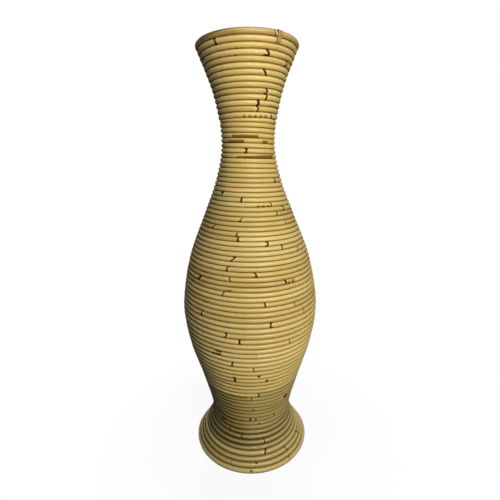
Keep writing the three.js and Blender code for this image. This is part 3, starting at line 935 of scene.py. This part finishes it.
# Colour of cane skin, from its tint and grain to its stains and scars, with a painted highlight on its upper
# side, painted shade in the grooves and on the flanks, and painted shadow round the ankle
def cane_skin(shader, stops, streak, fibre, groove, scar):
    lay = shader.fact("lay", "Vector")
    blotch = shader.noise(lay, (9, 60, 60))
    fleck = shader.noise(lay, (260, 1100, 1100), detail=1)
    patch = shader.noise(lay, (160, 500, 500), detail=3, roughness=0.7)
    hue = shader.fact("hue")
    mellow = shader.fact("mellow")
    tone = shader.math("MULTIPLY_ADD", shader.fact("tone"), TONE_STEP, 0.5)
    drifted = shader.math("MULTIPLY_ADD", blotch, BLOTCH_SPREAD, -BLOTCH_SPREAD / 2)
    skin = shader.ramp(shader.math("ADD", tone, drifted, clamp=True), stops)
    skin = shader.tinted(skin, hue, 0, 1.4, 0.75, (174, 157, 90))
    skin = shader.tinted(skin, hue, 0, -1, 0.45, (208, 164, 96))
    skin = shader.tinted(skin, streak, 0.42, 0.72, 0.35, (170, 133, 66))
    skin = shader.tinted(skin, fibre, 0.5, 0.75, 0.22, (228, 208, 150))
    skin = shader.tinted(skin, fleck, 0.66, 0.74, 0.45, (112, 80, 34))
    # yellower on the flanks away from the painted highlight, as painted shade, and yellower or paler up the
    # wall
    skin = shader.mix(mellow, skin, colour(206, 178, 58))
    skin = shader.tinted(skin, mellow, 0, -1, 1, (210, 184, 128))
    # darker towards the grooves between canes: painted shade
    skin = shader.tinted(skin, groove, 0.6, 1, 0.9, (142, 105, 12))
    # painted highlight: paler skin on the side that faces up towards the lamps
    skin = shader.mix(shader.fact("bleached"), skin, colour(243, 213, 146))
    skin = shader.mix(shader.math("MULTIPLY", shader.fact("pale"), 0.4), skin, colour(232, 214, 160))
    # age with painted shadow round the ankle, deepest in the grooves
    aged_and_shadowed = shader.math("MULTIPLY", shader.fact("age"), shader.between(groove, 0.05, 0.85, 0.7, 1.9))
    skin = shader.mix(aged_and_shadowed, skin, colour(92, 79, 27))
    # stains, with painted shade and a painted shadow line among them
    stain = shader.math("MULTIPLY", shader.fact("stain"), shader.between(patch, 0.25, 0.5, 0.85, 1))
    skin = shader.mix(stain, skin, colour(118, 88, 2))
    skin = shader.tinted(skin, scar, 0.1, 0.5, 0.95, (92, 62, 4))
    return shader.tinted(skin, scar, 0.5, 0.95, 0.9, (48, 30, 2))


# Varnished cane, with its coat worn off streaks and scars and thin in the grooves
def cane_material(name, stops):
    shader = Shader(bpy.data.materials.new(name))
    lay = shader.fact("lay", "Vector")
    streak = shader.noise(lay, (14, 900, 900), detail=3)
    fibre = shader.noise(lay, (60, 3000, 3000))
    height = shader.node("ShaderNodeSeparateXYZ", {0: lay}).outputs["Z"]
    groove = shader.math("ABSOLUTE", shader.math("DIVIDE", height, LOWER_RADIUS))
    scar = shader.fact("scar")
    skin = cane_skin(shader, stops, streak, fibre, groove, scar)
    relief = shader.bump(streak, 0.25, 0.12 * MM)
    relief = shader.bump(fibre, 0.2, 0.06 * MM, Normal=relief)
    gloss = shader.between(streak, 0.3, 0.75, 0.4, 0.65)
    slant = shader.node("ShaderNodeLayerWeight", {"Blend": 0.5}).outputs["Facing"]
    varnish = shader.between(slant, 0.25, 0.85, 0.46, 0.03)
    worn = ((scar, 0, 0.6, 1, 0.1), (streak, 0.35, 0.7, 1, 0.55), (groove, 0.55, 0.85, 1, 0.05))
    for fact, *levels in worn:
        varnish = shader.math("MULTIPLY", varnish, shader.between(fact, *levels))
    return shader.finish(Base_Color=skin, Roughness=gloss, Normal=relief, Specular_IOR_Level=0,
                         Coat_Weight=varnish, Coat_Roughness=0.16)


# Split peel: olive skin with long fibres, and painted shade along both edges of each strand
def peel_material():
    shader = Shader(bpy.data.materials.new("peel"))
    lay = shader.fact("lay", "Vector")
    streak = shader.noise(lay, (25, 1500, 1500), detail=3)
    fibre = shader.noise(lay, (80, 4500, 4500))
    skin = shader.ramp(streak, ((0.25, 118, 92, 34), (0.5, 160, 130, 58), (0.75, 196, 166, 88)))
    skin = shader.tinted(skin, fibre, 0.55, 0.8, 0.4, (94, 74, 30))
    # darker along both edges of each strand: painted shade where it meets the cane
    skin = shader.tinted(skin, shader.fact("edge"), 0.45, 0.95, 0.9, (70, 50, 8))
    relief = shader.bump(fibre, 0.4, 0.1 * MM)
    gloss = shader.between(streak, 0.3, 0.7, 0.35, 0.55)
    return shader.finish(Base_Color=skin, Roughness=gloss, Normal=relief)


# Bare plywood: long grain on the faces, plies on the edge
def plywood_material():
    shader = Shader(bpy.data.materials.new("plywood"))
    place = shader.place()
    warp = shader.noise(place, (6, 14, 6), detail=3)
    grain = shader.noise(place, (12, 260, 900), detail=4, roughness=0.6)
    pore = shader.noise(place, (90, 1800, 900), detail=1)
    figure = shader.math("MULTIPLY_ADD", grain, 0.7, shader.math("MULTIPLY", warp, 0.3))
    wood = shader.ramp(figure, ((0.3, 142, 106, 62), (0.5, 178, 143, 94), (0.7, 198, 167, 116)))
    wood = shader.tinted(wood, pore, 0.62, 0.74, 0.5, (110, 78, 42))
    relief = shader.bump(grain, 0.3, 0.3 * MM)
    gloss = shader.between(grain, 0.3, 0.7, 0.6, 0.8)
    return shader.finish(Base_Color=wood, Roughness=gloss, Normal=relief)


# Darkened steel with a little rust
def steel_material():
    shader = Shader(bpy.data.materials.new("steel"))
    rust = shader.noise(shader.place(), (900, 900, 900), detail=3)
    metal = shader.ramp(rust, ((0.35, 58, 50, 38), (0.6, 80, 70, 52), (0.75, 86, 58, 34)))
    relief = shader.bump(rust, 0.3, 0.05 * MM)
    gloss = shader.between(rust, 0.3, 0.7, 0.5, 0.75)
    return shader.finish(Base_Color=metal, Roughness=gloss, Metallic=0.9, Normal=relief)


MATERIALS = {
    "cane_pale": cane_material("cane_pale_skin", PALE_STOPS),
    "cane_golden": cane_material("cane_golden_skin", GOLDEN_STOPS),
    "cane_brown": cane_material("cane_brown_skin", BROWN_STOPS),
    "peel": peel_material(),
    "plywood": plywood_material(),
    "steel": steel_material(),
}

for cane in CANES:
    places, points, lay, facts = cane_points(cane)
    mesh = tube_mesh(f"{cane.name}_tube", points, places, TURN * LOWER_RADIUS)
    add_facts(mesh, lay, facts)
    add_piece(cane.name, mesh)


# Path of the peel over the two top rings, in (distance along the wall, outwards), from inside to outside
def binding_path():
    reach = MOUTH_RADIUS + SEAT_CLEARANCE + BINDING_THICKNESS / 2
    arcs = ((WALL_RUN - MOUTH_PITCH, BINDING_LOWER_ARC), (WALL_RUN, BINDING_UPPER_ARC))
    climb = np.vstack([side_by_side(at + reach * np.sin(arc), reach * np.cos(arc)) for at, arc in arcs])
    path = np.vstack([climb * (1, -1), climb[-2::-1]])
    for _ in range(BINDING_SMOOTHING):
        path[1:-1] = (path[:-2] + 2 * path[1:-1] + path[2:]) / 4
    return path


# Points of one strand, flat and narrower towards its tucked ends, and facts for its material
def binding_strand(strand):
    path = binding_path()
    ahead = np.gradient(path, axis=0)
    ahead /= np.linalg.norm(ahead, axis=1)[:, None]
    run = run_along(path)[:, None]
    share = run / run[-1]
    angle = even_angles(BINDING_SIDES)
    flat = np.sign(np.cos(angle)) * np.abs(np.cos(angle)) ** BINDING_FLATNESS
    rise = BINDING_THICKNESS / 2 * np.sin(angle)
    room = BINDING_WIDTH / BINDING_STRANDS
    taper = np.clip(np.minimum(share, 1 - share) / BINDING_TAPER, BINDING_TIP, 1)
    uneven = 1 + BINDING_UNEVENNESS * waves(run, BINDING_WIDTH_WAVES)
    half = room / 2 * BINDING_FILL * taper * uneven
    middle = BINDING_SHIFT + (strand - (BINDING_STRANDS - 1) / 2) * room
    middle = middle + BINDING_WANDER * waves(run, BINDING_WANDER_WAVES)
    aside = middle + half * flat
    radius, height = wall_point(path[:, :1] + ahead[:, 1:] * rise, path[:, 1:] - ahead[:, :1] * rise)
    joint_step = MOUTH_JOINT_STEPS[0] + 0.5
    points = turned(radius, height, -joint_step - aside / radius / STEP_ANGLE)
    lay = side_by_side(run + strand, aside, rise)
    return points, lay, np.broadcast_to(np.abs(flat), aside.shape)


# Strands side by side, whose faces turn the other way because their path runs from inside to outside
def add_binding():
    strands = [binding_strand(strand) for strand in range(BINDING_STRANDS)]
    points, lay, edge = [np.array(values) for values in zip(*strands)]
    faces = []
    for number in np.arange(edge.size).reshape(edge.shape):
        faces += [face[:1] + face[:0:-1] for face in ring_faces(number)]
        faces += [number[0].tolist(), number[-1, ::-1].tolist()]
    mesh = smooth_mesh("lip_binding_strands", points, faces)
    add_facts(mesh, lay, {"edge": edge})
    add_piece("lip_binding", mesh)


# Solid turned about an axis through the ankle's middle, from a profile of (radius, place along the axis)
def lathe_mesh(name, profile, sides, axis, side):
    angle = even_angles(sides)[:, None]
    spoke = np.cos(angle) * side + np.sin(angle) * np.cross(axis, side)
    rims = np.array(profile[1:-1])
    rings = ANKLE_CENTRE + rims[:, None, 1:] * axis + rims[:, None, :1] * spoke
    ends = [ANKLE_CENTRE + along * axis for _, along in (profile[0], profile[-1])]
    number = np.arange(len(rims) * sides).reshape(-1, sides)
    following = np.roll(number, -1, axis=1)
    first = number.size
    faces = ring_faces(number)
    faces += [(first, after, before) for before, after in zip(number[0], following[0])]
    faces += [(first + 1, before, after) for before, after in zip(number[-1], following[-1])]
    return smooth_mesh(name, np.vstack([rings.reshape(-1, 3), ends]), faces)


ANKLE_RADIUS, ANKLE_HEIGHT = wall_point(ANKLE_MIDDLE, 0)
DISC_RADIUS = ANKLE_RADIUS - LOWER_RADIUS - SEAT_CLEARANCE
RIGHTWARDS, _, UPWARDS = np.eye(3)
ANKLE_CENTRE = UPWARDS * ANKLE_HEIGHT


# Floor disc with eased edges, pressed into the ankle ring
def add_disc():
    half = DISC_THICKNESS / 2
    rings = [DISC_RADIUS * share for share in DISC_RINGS]
    lower = [(0, -half)] + [(radius, -half) for radius in rings]
    for inward, up in ((1, 0), (0.3, 0.3), (0, 1)):
        lower.append((DISC_RADIUS - inward * DISC_EASE, -half + up * DISC_EASE))
    profile = lower + [(radius, -along) for radius, along in reversed(lower)]
    mesh = lathe_mesh("floor_disc_ply", profile, DISC_SIDES, UPWARDS, RIGHTWARDS)
    add_piece("floor_disc", mesh)


# Nail with a domed head, driven through the ankle ring into the disc's edge
def add_brad(number, step):
    seat = ANKLE_RADIUS + LOWER_RADIUS + SNUG
    tip = DISC_RADIUS - BRAD_BITE
    shank = BRAD_DIAMETER / 2
    head = BRAD_HEAD_DIAMETER / 2
    profile = [(0, tip), (shank * 0.35, tip + BRAD_POINT * 0.3), (shank, tip + BRAD_POINT)]
    profile += [(shank, seat - BRAD_COLLAR), (shank * 1.25, seat), (head * 0.93, seat)]
    for turn in BRAD_DOME:
        rise = BRAD_HEAD_EDGE + (1 - BRAD_HEAD_EDGE) * math.sin(turn)
        profile.append((head * math.cos(turn), seat + BRAD_HEAD_THICKNESS * rise))
    profile.append((0, seat + BRAD_HEAD_THICKNESS))
    outwards = turned(1, 0, step)
    mesh = lathe_mesh(f"floor_brad_nail_{number}", profile, BRAD_SIDES, outwards, UPWARDS)
    add_piece(f"floor_brad_{number}", mesh)


add_binding()
add_disc()
for index in range(BRAD_COUNT):
    add_brad(index + 1, FIRST_BRAD_STEP + round(index * TURN_STEPS / BRAD_COUNT) + 0.5)


def add_lamp(name, place, target, size, power):
    light = bpy.data.lights.new(name, "AREA")
    light.shape = "DISK"
    light.size = size
    light.energy = power
    lamp = add_object(name, light)
    lamp.location = place
    lamp.rotation_euler = (Vector(target) - Vector(place)).to_track_quat("-Z", "Y").to_euler()


# World that is white to the camera and gives little light
def set_world():
    shader = Shader(bpy.data.worlds.new("studio"))
    light = shader.node("ShaderNodeBackground", {"Color": WHITE, "Strength": WORLD_LIGHT})
    white = shader.tree.nodes["Background"]
    shader.put(white.inputs["Color"], WHITE)
    shader.show("World Output", shader.seen(), light, white)
    bpy.context.scene.world = shader.owner


# Pale floor that keeps the shadow near the vase and is white to the camera further out
def floor_material():
    shader = Shader(bpy.data.materials.new("floor"))
    away = shader.node("ShaderNodeVectorMath", {0: shader.place()}, operation="LENGTH").outputs["Value"]
    seen = shader.seen()
    tint = shader.mix(seen, FLOOR_BOUNCE_TINT, FLOOR_TINT)
    shader.finish(Base_Color=tint, Roughness=0.9, Specular_IOR_Level=0.1)
    share = shader.math("MULTIPLY", shader.between(away, *FLOOR_SHADOW_FADE, FLOOR_WHITE, 1), seen)
    white = shader.node("ShaderNodeEmission", {"Color": WHITE, "Strength": 1})
    shader.show("Material Output", share, shader.tree.nodes["Principled BSDF"], white)
    return shader.owner


def add_floor():
    mesh = bpy.data.meshes.new("floor")
    corners = [(x * FLOOR_REACH, y * FLOOR_REACH, 0) for x, y in ((-1, -1), (1, -1), (1, 1), (-1, 1))]
    mesh.from_pydata(corners, [], [(0, 1, 2, 3)])
    mesh.materials.append(floor_material())
    add_object("floor", mesh)


def add_camera():
    lens = bpy.data.cameras.new("camera")
    lens.lens = FOCAL_PIXELS / IMAGE_SIZE * lens.sensor_width
    camera = add_object("camera", lens)
    camera.location = CAMERA_PLACE
    camera.rotation_euler = CAMERA_TURN.to_euler()
    bpy.context.scene.camera = camera


for lamp_values in LIGHTS:
    add_lamp(*lamp_values)
set_world()
add_floor()
add_camera()
bpy.context.scene.view_settings.view_transform = "Standard"
